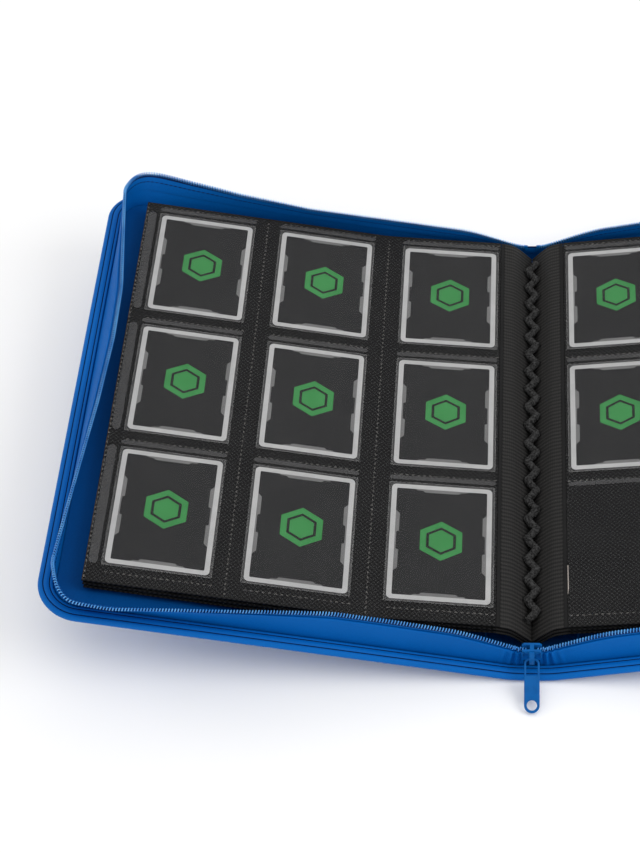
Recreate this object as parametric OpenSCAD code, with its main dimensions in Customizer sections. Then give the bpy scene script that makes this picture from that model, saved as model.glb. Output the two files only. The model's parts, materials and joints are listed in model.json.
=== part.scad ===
// Zip-round trading card binder, lying open: two covers, a soft spine, and six pocket
// leaves that are sewn into the spine. Millimetres, +Z up, origin at the middle of the
// spine's underside. The back cover is on the +X side and is the one drawn; the front
// cover is its mirror image. The near end of the spine, with the slider, is at -Y.

/* [Covers] */
// Length of a cover from its crease to the fore edge
cover_len = 271; // [255:1:300]
// Height of the binder along the spine
cover_h = 363; // [350:1:400]
// Radius of the cover's outer corners
corner_r = 26; // [20:1:30]
// Slope of an open cover, in degrees
cover_tilt = 12.4; // [8:0.1:15]
// Thickness of the outer skin
skin_t = 1; // [0.8:0.1:1.2]
// Thickness of the stiff board
board_t = 2.4; // [2:0.1:2.6]
// Thickness of the lining
lining_t = 1; // [0.8:0.1:1]
// Width of the padded edge band
band_w = 9.3; // [8:0.1:9.4]
// Height of the padded edge band above the skin
band_h = 3.9; // [3:0.1:4]

/* [Spine] */
// Half width of the spine from its middle to a crease
spine_half = 30; // [29:0.5:32]
// Half width of the flat strip that the binder stands on
flat_half = 12; // [10:0.5:14]

/* [Zip] */
// Height of the zip side wall's fabric
wall_h = 23; // [21:0.5:23.5]
// Thickness of the side wall's fabric
wall_t = 1.4; // [1:0.1:1.5]
// Largest lean of the side wall towards the pages, at its free edge
wall_sag = 9; // [0:0.5:9]
// Radius of the zip's coil
coil_r = 1.15; // [0.9:0.05:1.15]
// Width of the zip slider's plates
slider_w = 12; // [10:0.5:12]
// Width of the zip pull
pull_w = 9.2; // [8:0.2:10]
// Length of the zip pull from its bar to its tip
pull_len = 31.3; // [28:0.1:31.3]
// Thickness of the zip pull
pull_t = 1.6; // [1.2:0.1:1.6]
// Radius of the hole at the pull's tip
pull_hole_r = 3.05; // [2.5:0.05:3.2]

/* [Pages] */
// Height of a page along the spine
page_h = 323; // [315:1:325]
// Thickness of a page's black backing sheet
sheet_t = 0.8; // [0.6:0.1:1]
// Thickness of the clear pocket film
film_t = 0.2; // [0.15:0.05:0.3]
// Drop from one leaf to the next
leaf_pitch = 3.5; // [3:0.1:3.6]
// Distance between pocket rows
row_pitch = 104.6; // [102:0.1:105]
// Distance between the two outer pocket columns
column_pitch = 83.7; // [80:0.1:84]

/* [Cards] */
// Width of a card
card_w = 63; // [62:0.5:64]
// Height of a card
card_h = 88; // [87:0.5:89]
// Thickness of a card
card_t = 0.35; // [0.3:0.05:0.4]
// Width of a card sleeve beyond the card, on each side
sleeve_rim = 1.75; // [1.5:0.05:2]
// Thickness of a card sleeve's film
sleeve_t = 0.1; // [0.08:0.01:0.12]

/* [Hidden] */
$fn = 48;

// Colours
cover_blue = [0.02, 0.30, 0.60];
lining_blue = [0.01, 0.20, 0.42];
page_black = [0.12, 0.12, 0.12];
clear_film = [0.75, 0.78, 0.80];

// Covers, in a cover's own frame: u out from the crease, v along the spine, w up from
// the outer face
half_h = cover_h / 2;
crease_gap = 3.4;                        // bare crease beside the spine and the cover
hinge_z = (spine_half - flat_half) * tan(cover_tilt);
board_inset = 12;
lining_inset = 12.3;
wall_inset = 9.8;
wall_start = 28;                         // the side wall starts here, the gore ends
fold_h = 4.6;                            // the side wall leans only above this, over the band
free_h = 27.2;                           // height of the coil's centre up the side wall
tape_w = 10;
tape_gap = 0.3;                          // slack between the side wall and the zip tape
station_step = 6;
// Lean of the side wall's free edge at lengths along it, from the near end of the spine:
// the fabric flares outwards at both corners and sags towards the pages between them
LEAN = [[0, -2], [60, 1.5], [95, 1.5], [160, -7], [225, -14], [250, -13], [270, -4], [320, -0.5],
        [410, 6.5], [465, wall_sag], [510, 8.4], [595, -1], [615, -3], [640, -12.5], [665, -6],
        [700, 0], [750, 4], [883, 4.8]];
straight_len = cover_len - corner_r;
corner_len = PI / 2 * corner_r;
side_len = cover_h - 2 * corner_r;
wall_len = 2 * (straight_len + corner_len) + side_len;

// Spine layers
stiff_half = 24;
stiff_t = 1;
spine_lining_t = 0.8;
spine_end_half = 24;
fit_gap = 0.2;

// Zip slider and pull at the near end
zip_y = -171.6;                          // middle of the zip tape at the spine's near end
far_gore_y = 169.5;
tape_t = 0.8;
slider_gap = 3.2;
plate_t = 1.4;
slider_z = 12;
slider_h = 11;
post_w = 2.4;
post_h = 4;
bail_w = 3.1;
bail_t = 1.1;
bail_reach = 4.2;
bail_z = 13;
bail_h = 8.8;
bar_r = 0.7;
bar_y = zip_y - slider_gap / 2 - plate_t - 1.5;
bar_z = 15.3;
pull_slope = 26.5;
ring_w = 9.2;
ring_hole_w = 6.7;
ring_len = 9;

// Leaves: crease, bend and fore edge of the top leaf's upper face, as [x, z]
leaf_crease = [21.5, 29.7];
leaf_bend = [100, 37.9];
leaf_edge = [265.5, 72.8];
inner_slope = atan2(leaf_bend[1] - leaf_crease[1], leaf_bend[0] - leaf_crease[0]);
outer_slope = atan2(leaf_edge[1] - leaf_bend[1], leaf_edge[0] - leaf_bend[0]);
hem_edge = [19.1, 29];
row_shift = 1.6;                         // the rows sit a little above the page's middle
inner_column = 34.8;                     // card centre, out from the crease
middle_column = 42.3;                    // card centre, out from the bend
pocket_w = 69;
pocket_h = 95;
sleeve_h = card_t + 2 * sleeve_t + 0.06;
pocket_gap = sleeve_h + 0.12;

// Gutter webs: the leaf's fold from the seam up to the hem, as [x, z] for the top leaf
web_path = [[0.2, 13.7], [5.3, 19.8], [12.1, 26.4], [18.9, 29]];
web_t = 0.9;
lacing_z = 20.3;
lacing_t = 3.4;
lacing_half = 1.9;
lacing_reach = 2.8;
lacing_step = 7.75;
lacing_n = 40;

function spine_z(x) = abs(x) <= flat_half ? 0 : (abs(x) - flat_half) * tan(cover_tilt);
function cover_point(u, w) = [spine_half + u * cos(cover_tilt) - w * sin(cover_tilt),
                              hinge_z + u * sin(cover_tilt) + w * cos(cover_tilt)];

// Point on the cover's outline and the direction into the cover there, as [u, v, nu, nv], at
// a length along the outline from the near end of the spine
function station(p) =
  p > wall_len / 2 ? let (m = station(wall_len - p)) [m[0], -m[1], m[2], -m[3]] :
  p <= straight_len ? [p, -half_h, 0, 1] :
  p >= straight_len + corner_len ? [cover_len, p - wall_len / 2, -1, 0] :
  let (a = 90 * (p - straight_len) / corner_len)
    [straight_len + corner_r * sin(a), corner_r - half_h - corner_r * cos(a), -sin(a), cos(a)];

// Point of the side wall: so far along it, up it, and in from its outer face
function wall_point(p, h, t) =
  let (s = station(p), a = asin(lookup(p, LEAN) / (free_h - fold_h)), k = max(h - fold_h, 0),
       i = wall_inset + t + k * sin(a))
    [s[0] + s[2] * i, s[1] + s[3] * i, skin_t + h - k + k * cos(a)];

function up_from(p, slope, t) = [p[0] - t * sin(slope), p[1] + t * cos(slope)];

// The front half is the mirror image of the back half
module on_side(side) {
  if (side > 0) children();
  else mirror([1, 0, 0]) children();
}

// Puts a shape drawn in a cover's own frame onto the open cover
module on_cover(side) {
  on_side(side) translate([spine_half, 0, hinge_z]) rotate([0, -cover_tilt, 0]) children();
}

// Extrudes an outline drawn in x and z along the spine
module along_spine(length, middle = 0) {
  translate([0, middle, 0]) rotate([90, 0, 0]) linear_extrude(length, center = true) children();
}

// Cover's outline, drawn in by inset, from u = start
module cover_outline(inset, start) {
  r = max(corner_r - inset, 1);
  far = cover_len - inset;
  half = half_h - inset;
  translate([start, -half]) square([far - r - start, 2 * half]);
  translate([start, -half + r]) square([far - start, 2 * (half - r)]);
  for (s = [-1, 1]) translate([far - r, s * (half - r)]) circle(r);
}

// Sweeps a profile of inset and height round the cover's three open edges
module round_three_sides(start) {
  run = cover_len - corner_r - start;
  for (s = [0, 1]) mirror([0, s, 0]) {
    translate([start, -half_h, 0]) rotate([90, 0, 90]) linear_extrude(run) children();
    translate([cover_len - corner_r, half_h - corner_r, 0])
      rotate_extrude(angle = 90) translate([corner_r, 0]) mirror([1, 0]) children();
  }
  translate([cover_len, 0, 0]) mirror([1, 0, 0])
    along_spine(2 * (half_h - corner_r)) children();
}

// Padded band's profile, with its upper corners cut
module band_profile() {
  c = band_h / 3;
  polygon([[0, skin_t], [band_w, skin_t], [band_w, skin_t + band_h - c / 2],
           [band_w - c / 2, skin_t + band_h], [c, skin_t + band_h], [0, skin_t + band_h - c]]);
}

// Sweeps a section of [height, depth] points along the side wall's three sides
module along_wall(section) {
  n = ceil((wall_len - 2 * wall_start) / station_step);
  m = len(section);
  points = [for (i = [0 : n]) for (q = section)
              wall_point(wall_start + i * (wall_len - 2 * wall_start) / n, q[0], q[1])];
  sides = [for (i = [0 : n - 1]) for (j = [0 : m - 1])
             let (a = i * m + j, b = i * m + (j + 1) % m) each [[a, b, b + m], [a, b + m, a + m]]];
  caps = [[for (j = [0 : m - 1]) m - 1 - j], [for (j = [0 : m - 1]) n * m + j]];
  polyhedron(points = points, faces = concat(sides, caps));
}

// Spine layer between two heights above the spine's underside
module spine_layer(half, z0, z1, length, middle = 0) {
  along_spine(length, middle)
    polygon([[-half, spine_z(half) + z0], [-flat_half, z0], [flat_half, z0], [half, spine_z(half) + z0],
             [half, spine_z(half) + z1], [flat_half, z1], [-flat_half, z1], [-half, spine_z(half) + z1]]);
}

// Bent sheet that follows the top leaf, between two heights over its upper face
module leaf_layer(t0, t1, length) {
  mid = (inner_slope + outer_slope) / 2;
  low = [up_from(leaf_crease, inner_slope, t0), up_from(leaf_bend, mid, t0),
         up_from(leaf_edge, outer_slope, t0)];
  high = [up_from(leaf_edge, outer_slope, t1), up_from(leaf_bend, mid, t1),
          up_from(leaf_crease, inner_slope, t1)];
  along_spine(length) polygon(concat(low, high));
}

// Repeats a flat shape at each pocket of a leaf, in the rows given
module at_pockets(rows) {
  for (row = rows) translate([0, row_shift + (1 - row) * row_pitch, 0]) {
    translate([leaf_crease[0], 0, leaf_crease[1]]) rotate([0, -inner_slope, 0])
      translate([inner_column, 0, 0]) children();
    for (column = [0, 1])
      translate([leaf_bend[0], 0, leaf_bend[1]]) rotate([0, -outer_slope, 0])
        translate([middle_column + column * column_pitch, 0, 0]) children();
  }
}

module slab(w, h, t) {
  translate([-w / 2, -h / 2, 0]) cube([w, h, t]);
}

// ---- spine ----

module spine_skin() {
  color(cover_blue)
    spine_layer(spine_half - crease_gap * cos(cover_tilt), 0, skin_t, cover_h);
}

module spine_stiffener() {
  color("dimgray") spine_layer(stiff_half, skin_t, skin_t + stiff_t, cover_h - 22);
}

module spine_lining() {
  color(lining_blue)
    spine_layer(stiff_half, skin_t + stiff_t, skin_t + stiff_t + spine_lining_t, cover_h - 22);
}

module spine_edge_band() {
  color(cover_blue) for (s = [-1, 1])
    spine_layer(spine_end_half, skin_t, skin_t + band_h - 0.3, band_w, s * (half_h - band_w / 2));
}

module binding_strip() {
  z = skin_t + stiff_t + spine_lining_t;
  color("black") translate([-6, -page_h / 2, z]) cube([12, page_h, 1.2]);
}

// Flat zigzag of the sewing cord, as one outline
module gutter_lacing() {
  half = (lacing_n - 1) / 2;
  path = [for (i = [0 : lacing_n - 1]) [(i % 2 == 0 ? -1 : 1) * lacing_reach, (i - half) * lacing_step]];
  left = [for (p = path) p - [lacing_half, 0]];
  right = [for (i = [1 : lacing_n]) path[lacing_n - i] + [lacing_half, 0]];
  color(page_black) translate([0, 0, lacing_z - lacing_t / 2]) linear_extrude(lacing_t)
    polygon(concat(left, right));
}

module crease(side) {
  reach = crease_gap - fit_gap;
  color(cover_blue) on_cover(side) translate([-reach, -half_h, 0]) cube([2 * reach, cover_h, skin_t]);
}

// Folded end of the side wall, between the spine's middle and the wall's start
module gore(side, end) {
  low_w = skin_t + band_h + 0.3;
  floor_z = skin_t + stiff_t + spine_lining_t + 0.4;
  y = end < 0 ? zip_y : far_gore_y;
  color(cover_blue) on_side(side) along_spine(tape_t, y)
    polygon([[5.4, floor_z], [5.4, slider_z + fit_gap], [1.8, slider_z + fit_gap], [1.8, 19.5],
             cover_point(wall_start - 0.5, 27), cover_point(wall_start - 0.5, low_w),
             cover_point(crease_gap, low_w), [spine_end_half, spine_z(spine_end_half) + floor_z],
             [flat_half, floor_z]]);
}

module zip_tape_stub() {
  color(cover_blue) translate([-5, zip_y - tape_t / 2, 4]) cube([10, tape_t, 5.3]);
}

module zip_bottom_stop() {
  color("steelblue") translate([-2, zip_y - 1.3, 9.5]) cube([4, 2.6, 2.4]);
}

module zip_top_stops() {
  color("steelblue") for (s = [-1, 1])
    translate([s * 4.2 - 1.2, far_gore_y - tape_t / 2 - 1.8, 17]) cube([2.4, 1.7, 3.6]);
}

// ---- gutter webs: the fold of each leaf between the seam and the leaf's crease ----

module web(side, leaf) {
  drop = [0, -leaf_pitch * (leaf - 1)];
  path = leaf == 1 ? web_path : concat(web_path, [leaf_crease - [0.2, 0.1]]);
  n = len(path) - 1;
  low = [for (i = [0 : n]) path[i] + drop - [0, web_t]];
  high = [for (i = [0 : n]) path[n - i] + drop];
  color(page_black) on_side(side) along_spine(page_h) polygon(concat(low, high));
}

// ---- zip slider and pull ----

module zip_slider() {
  outer_y = zip_y - slider_gap / 2 - plate_t;
  color("royalblue") {
    translate([-slider_w / 2, outer_y, slider_z]) cube([slider_w, plate_t, slider_h]);
    translate([-slider_w / 2, zip_y + slider_gap / 2, slider_z]) cube([slider_w, plate_t, slider_h]);
    translate([-post_w / 2, outer_y + plate_t / 2, slider_z + slider_h - post_h])
      cube([post_w, slider_gap + plate_t, post_h]);
    translate([-bail_w / 2, outer_y - bail_reach, bail_z]) difference() {
      cube([bail_w, bail_reach + plate_t / 2, bail_h]);
      translate([-1, bail_t, bail_t]) cube([bail_w + 2, bail_reach - bail_t, bail_h - 2 * bail_t]);
    }
  }
}

module zip_pull() {
  tip = pull_len - pull_w / 2;
  color("royalblue") translate([0, bar_y, bar_z]) rotate([pull_slope, 0, 0])
    difference() {
      union() {
        translate([-ring_w / 2, -ring_len - 1.5, -pull_t / 2]) cube([ring_w, ring_len + 1.5, pull_t]);
        translate([-pull_w / 2, -tip, -pull_t / 2]) cube([pull_w, tip - ring_len, pull_t]);
        translate([0, -tip, -pull_t / 2]) cylinder(h = pull_t, r = pull_w / 2);
        translate([-ring_w / 2, 0, 0]) rotate([0, 90, 0]) cylinder(h = ring_w, r = bar_r + 0.1);
      }
      translate([-ring_hole_w / 2, -ring_len, -pull_t]) cube([ring_hole_w, ring_len - bar_r, 2 * pull_t]);
      translate([0, -tip, -pull_t]) cylinder(h = 2 * pull_t, r = pull_hole_r);
    }
}

// ---- covers ----

module skin(side) {
  color(cover_blue) on_cover(side) linear_extrude(skin_t) cover_outline(0, crease_gap);
}

module board(side) {
  color("tan") on_cover(side) translate([0, 0, skin_t]) linear_extrude(board_t)
    cover_outline(board_inset, crease_gap + 3);
}

module lining(side) {
  color(lining_blue) on_cover(side) translate([0, 0, skin_t + board_t]) linear_extrude(lining_t)
    cover_outline(lining_inset, crease_gap);
}

module edge_band(side) {
  color(cover_blue) on_cover(side) round_three_sides(crease_gap) band_profile();
}

module gusset_wall(side) {
  color(cover_blue) on_cover(side)
    along_wall([[0, 0], [0, wall_t], [fold_h, wall_t], [wall_h, wall_t], [wall_h, 0], [fold_h, 0]]);
}

module zip_tape(side) {
  t = wall_t + tape_gap;
  top = free_h - coil_r - 0.1;
  color("navy") on_cover(side)
    along_wall([[top - tape_w, t], [top - tape_w, t + 0.6], [top, t + 0.6], [top, t]]);
}

module zip_coil(side) {
  color("navy") on_cover(side)
    along_wall([for (a = [0 : 60 : 300]) [free_h + coil_r * cos(a), wall_t + 0.4 + coil_r * sin(a)]]);
}

// ---- leaves ----

// Strip at the top leaf's crease that the leaf turns on
module hem(side) {
  a = [hem_edge, [leaf_crease[0] - 0.3, leaf_crease[1] - 0.05]];
  color(page_black) on_side(side) along_spine(page_h)
    polygon([a[0] - [0, sheet_t], a[1] - [0, sheet_t], a[1], a[0]]);
}

module sheet(side, leaf) {
  color(page_black) on_side(side) translate([0, 0, -leaf_pitch * (leaf - 1)])
    leaf_layer(-sheet_t, 0, page_h);
}

module film(side, leaf) {
  color(clear_film) on_side(side) translate([0, 0, -leaf_pitch * (leaf - 1)]) {
    if (leaf > 1) leaf_layer(0, film_t, page_h - 2);
    else difference() {
      union() {
        leaf_layer(0, film_t, page_h - 2);
        at_pockets([0 : 2]) slab(pocket_w, pocket_h, pocket_gap + film_t);
      }
      at_pockets([0 : 2]) translate([0, 0, -0.001])
        slab(pocket_w - 2 * film_t, pocket_h - 2 * film_t, pocket_gap);
    }
  }
}

// Clear sleeve round each card, closed here on all sides
module sleeves(side, rows) {
  inner = card_t + 0.04;
  color(clear_film) on_side(side) at_pockets(rows) translate([0, 0, 0.03]) difference() {
    slab(card_w + 2 * sleeve_rim, card_h + 2 * sleeve_rim, sleeve_h);
    translate([0, 0, (sleeve_h - inner) / 2]) slab(card_w + 0.4, card_h + 0.4, inner);
  }
}

module cards(side, rows) {
  color("dimgray") on_side(side) at_pockets(rows)
    translate([0, 0, 0.03 + (sleeve_h - card_t) / 2]) slab(card_w, card_h, card_t);
}

spine_skin();
spine_stiffener();
spine_lining();
spine_edge_band();
binding_strip();
gutter_lacing();
crease(-1);  // front_crease
crease(1);  // back_crease
zip_tape_stub();
zip_bottom_stop();
zip_top_stops();
gore(-1, -1);  // front_near_gore
gore(-1, 1);  // front_far_gore
gore(1, -1);  // back_near_gore
gore(1, 1);  // back_far_gore
web(-1, 1);  // left_web_1
web(-1, 2);  // left_web_2
web(-1, 3);  // left_web_3
web(1, 1);  // right_web_1
web(1, 2);  // right_web_2
web(1, 3);  // right_web_3
zip_slider();
zip_pull();
skin(-1);  // front_skin
board(-1);  // front_board
lining(-1);  // front_lining
edge_band(-1);  // front_edge_band
gusset_wall(-1);  // front_gusset_wall
zip_tape(-1);  // front_zip_tape
zip_coil(-1);  // front_zip_coil
skin(1);  // back_skin
board(1);  // back_board
lining(1);  // back_lining
edge_band(1);  // back_edge_band
gusset_wall(1);  // back_gusset_wall
zip_tape(1);  // back_zip_tape
zip_coil(1);  // back_zip_coil
hem(-1);  // left_hem_1
sheet(-1, 1);  // left_sheet_1
film(-1, 1);  // left_film_1
sleeves(-1, [0 : 2]);  // left_sleeves_1
cards(-1, [0 : 2]);  // left_cards_1
sheet(-1, 2);  // left_sheet_2
film(-1, 2);  // left_film_2
sheet(-1, 3);  // left_sheet_3
film(-1, 3);  // left_film_3
hem(1);  // right_hem_1
sheet(1, 1);  // right_sheet_1
film(1, 1);  // right_film_1
sleeves(1, [0 : 1]);  // right_sleeves_1
cards(1, [0 : 1]);  // right_cards_1
sheet(1, 2);  // right_sheet_2
film(1, 2);  // right_film_2
sheet(1, 3);  // right_sheet_3
film(1, 3);  // right_film_3
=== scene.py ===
"""Zip-round trading card binder, lying open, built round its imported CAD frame.

Lengths are in millimetres until a mesh is made. A half of the binder is described by s, the
distance from the spine's middle along its outer face, by v, the place along the spine, and by
w, the height above the outer face. side is -1 for the front (left) half and 1 for the back.
"""
import json
import math

import bpy
import numpy as np
from mathutils import Matrix, Vector


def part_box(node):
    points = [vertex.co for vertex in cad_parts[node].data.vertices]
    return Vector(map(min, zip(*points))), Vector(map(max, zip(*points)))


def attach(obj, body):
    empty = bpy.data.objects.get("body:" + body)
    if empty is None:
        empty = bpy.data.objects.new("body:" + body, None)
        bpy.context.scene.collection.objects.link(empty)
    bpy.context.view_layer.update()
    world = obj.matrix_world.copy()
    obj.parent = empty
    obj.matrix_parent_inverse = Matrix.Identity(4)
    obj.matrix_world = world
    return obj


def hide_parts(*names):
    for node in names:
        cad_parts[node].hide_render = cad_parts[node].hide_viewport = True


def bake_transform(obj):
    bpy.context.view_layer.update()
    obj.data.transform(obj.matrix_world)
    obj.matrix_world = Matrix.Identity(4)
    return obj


MM = 0.001
COVERS = {-1: "front", 1: "back"}
PAGES = {-1: "left", 1: "right"}

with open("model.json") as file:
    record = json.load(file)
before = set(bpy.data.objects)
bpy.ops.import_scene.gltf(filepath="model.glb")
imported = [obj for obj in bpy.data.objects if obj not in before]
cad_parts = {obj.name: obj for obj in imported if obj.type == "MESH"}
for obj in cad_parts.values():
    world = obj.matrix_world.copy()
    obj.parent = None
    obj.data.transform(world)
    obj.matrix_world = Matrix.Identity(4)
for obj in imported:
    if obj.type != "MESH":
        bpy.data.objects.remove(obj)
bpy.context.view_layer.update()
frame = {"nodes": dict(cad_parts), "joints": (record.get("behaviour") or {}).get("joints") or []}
joints = {joint["name"]: joint for joint in frame["joints"]}


def box_mm(node):
    """Lowest and highest corner of a CAD node, in millimetres."""
    low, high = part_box(node)
    return np.array(low) / MM, np.array(high) / MM


# ---- sizes taken from the frame ----

SKIN = 1.0  # thickness of the outer skin
hinge = np.array(joints["back_cover_hinge"]["pos_m"]) / MM
skin_high = box_mm("back_skin")[1]
HALF_H = skin_high[1]
TILT = math.atan2(skin_high[2] - hinge[2] - SKIN, skin_high[0] - hinge[0])
COVER_LEN = (skin_high[0] - hinge[0]) / math.cos(TILT)
FLAT_HALF = hinge[0] - hinge[2] / math.tan(TILT)
S_CREASE = FLAT_HALF + (hinge[0] - FLAT_HALF) / math.cos(TILT)
S_MAX = S_CREASE + COVER_LEN
CORNER_R = 26.0

# ---- the open binder's outer face and outline ----

BEND_FROM = 4.0  # the spine starts to curve up here
BEND_LEN = 2 * (FLAT_HALF - BEND_FROM)  # and slopes like the covers after this
STRAIGHT = S_MAX - CORNER_R
CORNER = math.pi / 2 * CORNER_R
FORE = 2 * (HALF_H - CORNER_R)
AROUND = 2 * (STRAIGHT + CORNER) + FORE


def smooth(x):
    """Eased step from 0 to 1."""
    x = np.clip(x, 0, 1)
    return x * x * (3 - 2 * x)


def place(side, s, v, w):
    """Points of the open binder from s, v and w."""
    s, v, w = np.broadcast_arrays(np.asarray(s, float), v, w)
    q = np.clip((s - BEND_FROM) / BEND_LEN, 0, 1)
    slope = TILT * smooth(q)
    x = s - (1 - math.cos(TILT)) * np.maximum(s - FLAT_HALF, 0)
    bent = BEND_LEN * math.sin(TILT) * (q ** 3 - q ** 4 / 2)
    z = np.where(s < BEND_FROM + BEND_LEN, bent, (s - FLAT_HALF) * math.sin(TILT))
    return np.stack([side * (x - w * np.sin(slope)), v, z + w * np.cos(slope)], -1)


def outline(p):
    """s, v and the inward direction at lengths p round a half, from the spine's near end."""
    p = np.asarray(p, float)
    q = np.minimum(p, AROUND - p)
    turn = np.clip((q - STRAIGHT) / CORNER_R, 0, math.pi / 2)
    s = np.minimum(q, STRAIGHT) + CORNER_R * np.sin(turn)
    along = np.maximum(q - STRAIGHT - CORNER, 0)
    v = -HALF_H + CORNER_R * (1 - np.cos(turn)) + along
    end = np.where(p > AROUND / 2, -1, 1)
    return s, v * end, -np.sin(turn), np.cos(turn) * end


def half_stations():
    """Lengths round a half, closer together where the outline bends."""
    near = [np.arange(0, 24, 1.2), np.arange(24, STRAIGHT, 5.2)]
    corner = STRAIGHT + CORNER * np.linspace(0, 1, 17)[:-1]
    fore = np.linspace(STRAIGHT + CORNER, AROUND / 2, 28)
    first = np.concatenate(near + [corner, fore])
    return np.concatenate([first, AROUND - first[-2::-1]])


STATIONS = half_stations()
FORE_STEPS = 54


# ---- meshes ----

def piece(name, points, faces, materials, face_material=None, uv=None, sharp=38):
    """Object from points in millimetres. The faces turn outwards if the mesh is closed."""
    points = np.asarray(points, float)
    mesh = bpy.data.meshes.new(name)
    mesh.from_pydata((points * MM).tolist(), [], faces)
    for material in materials if isinstance(materials, (list, tuple)) else [materials]:
        mesh.materials.append(material)
    if face_material is not None:
        mesh.polygons.foreach_set("material_index", np.asarray(face_material, np.int32))
    mesh.calc_loop_triangles()
    tri = np.zeros(len(mesh.loop_triangles) * 3, np.int32)
    mesh.loop_triangles.foreach_get("vertices", tri)
    a, b, c = (points[tri.reshape(-1, 3)[:, i]] for i in range(3))
    if (a * np.cross(b, c)).sum() < 0:
        mesh.flip_normals()
    if uv is not None:
        loops = np.zeros(len(mesh.loops), np.int32)
        mesh.loops.foreach_get("vertex_index", loops)
        layer = mesh.uv_layers.new(name="Cloth")
        layer.data.foreach_set("uv", np.asarray(uv, np.float32)[loops].ravel())
    mesh.shade_smooth()
    mesh.set_sharp_from_angle(angle=math.radians(sharp))
    mesh.update()
    obj = bpy.data.objects.new(name, mesh)
    bpy.context.scene.collection.objects.link(obj)
    return obj


def tube(n, m):
    """Faces of a closed section of m points swept through n rings, with its two ends."""
    faces = [(i * m + j, i * m + (j + 1) % m, (i + 1) * m + (j + 1) % m, (i + 1) * m + j)
             for i in range(n - 1) for j in range(m)]
    return faces + [tuple(range(m - 1, -1, -1)), tuple(range((n - 1) * m, n * m))]


def lengths(line):
    """Length along a line of points, at each point."""
    return np.concatenate([[0], np.cumsum(np.linalg.norm(np.diff(line, axis=0), axis=1))])


def ring_uv(rings):
    """Length along the sweep and round the section, for each point."""
    u, v = lengths(rings[:, 0]), lengths(rings[len(rings) // 2])
    return np.stack(np.meshgrid(u, v, indexing="ij"), -1).reshape(-1, 2)


def unit(vectors):
    """Each row scaled to length one."""
    return vectors / np.linalg.norm(vectors, axis=-1)[..., None]


def ring_round(centres, across, up, radius, rounds):
    """Points round each centre, in the plane of its across and up."""
    a = 2 * math.pi * np.arange(rounds)[:, None] / rounds
    return centres[:, None] + (across[:, None] * np.cos(a) + up[:, None] * np.sin(a)) * radius


def swept_copies(name, shapes, material, sharp=80):
    """One object of many like shapes, each an array of rings of points."""
    shapes = np.asarray(shapes)
    count, rings, rounds = shapes.shape[:3]
    size = rings * rounds
    faces = [tuple(k * size + i for i in f) for k in range(count) for f in tube(rings, rounds)]
    return piece(name, shapes.reshape(-1, 3), faces, material, sharp=sharp)


def grid_faces(rows, columns, start=0):
    """Faces of a grid of points, whose first one has the index start."""
    return [(start + i * columns + j, start + i * columns + j + 1, start + (i + 1) * columns + j + 1,
             start + (i + 1) * columns + j) for i in range(rows - 1) for j in range(columns - 1)]


def border(rows, columns):
    """Grid indices round a grid's edge, in order."""
    grid = np.arange(rows * columns).reshape(rows, columns)
    return np.concatenate([grid[:, 0], grid[-1, 1:], grid[-2::-1, -1], grid[0, -2:0:-1]]).tolist()


def sheet_between(name, top, under, u, v, material, sharp=38):
    """Closed sheet between two grids of points. u and v are the lengths along and across it."""
    count = u.size
    faces = grid_faces(*u.shape)
    faces += [tuple(count + i for i in reversed(f)) for f in faces]
    edge = border(*u.shape)
    faces += [(a, a + count, b + count, b) for a, b in zip(edge, edge[1:] + edge[:1])]
    points = np.concatenate([top.reshape(-1, 3), under.reshape(-1, 3)])
    flat = np.stack([u, v], -1).reshape(-1, 2)
    return piece(name, points, faces, material, uv=np.concatenate([flat, flat]), sharp=sharp)


# ---- materials ----

def rgb(r, g, b):
    """Linear colour from the 0-255 values of a colour picker."""
    return tuple(((c / 255 + 0.055) / 1.055) ** 2.4 if c > 10 else c / 255 / 12.92
                 for c in (r, g, b)) + (1.0,)


class Nodes:
    """One material's node tree."""

    def __init__(self, name):
        self.material = bpy.data.materials.new(name)
        self.material.use_nodes = True
        self.tree = self.material.node_tree
        self.shader = self.tree.nodes["Principled BSDF"]

    def add(self, kind, inputs=(), **settings):
        node = self.tree.nodes.new(kind)
        for key, value in settings.items():
            setattr(node, key, value)
        for key, value in dict(inputs).items():
            self.put(node.inputs[key], value)
        return node

    def put(self, socket, value):
        if isinstance(value, bpy.types.NodeSocket):
            self.tree.links.new(value, socket)
        else:
            socket.default_value = value

    def math(self, operation, a, b=0.0):
        return self.add("ShaderNodeMath", {0: a, 1: b}, operation=operation).outputs[0]

    def blend(self, a, a_share, b, b_share):
        """Sum of two values in the given shares."""
        return self.math("ADD", self.math("MULTIPLY", a, a_share), self.math("MULTIPLY", b, b_share))

    def wave(self, value, pitch):
        """Sine of a length, once each pitch."""
        return self.math("SINE", self.math("MULTIPLY", value, 2 * math.pi / pitch))

    def cloth(self):
        """The piece's own lengths along and across its cloth."""
        lengths = self.add("ShaderNodeUVMap", uv_map="Cloth").outputs[0]
        split = self.add("ShaderNodeSeparateXYZ", {0: lengths})
        return split.outputs[0], split.outputs[1]

    def noise(self, scale, detail=3.0):
        place_at = self.add("ShaderNodeTexCoord").outputs["Object"]
        inputs = {"Vector": place_at, "Scale": scale, "Detail": detail}
        return self.add("ShaderNodeTexNoise", inputs).outputs[0]

    def ramp(self, value, low, high, start=0.0, end=1.0):
        node = self.add("ShaderNodeValToRGB", {0: value})
        for element, colour, position in zip(node.color_ramp.elements, (low, high), (start, end)):
            element.color, element.position = colour, position
        return node.outputs[0]

    def bump(self, height, distance):
        node = self.add("ShaderNodeBump", {"Height": height, "Distance": distance, "Strength": 1.0})
        self.put(self.shader.inputs["Normal"], node.outputs[0])

    def finish(self, colour, roughness, **values):
        """Sets the shader's inputs and gives back the material."""
        values.update(Base_Color=colour, Roughness=roughness)
        for key, value in values.items():
            self.put(self.shader.inputs[key.replace("_", " ")], value)
        return self.material


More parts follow.
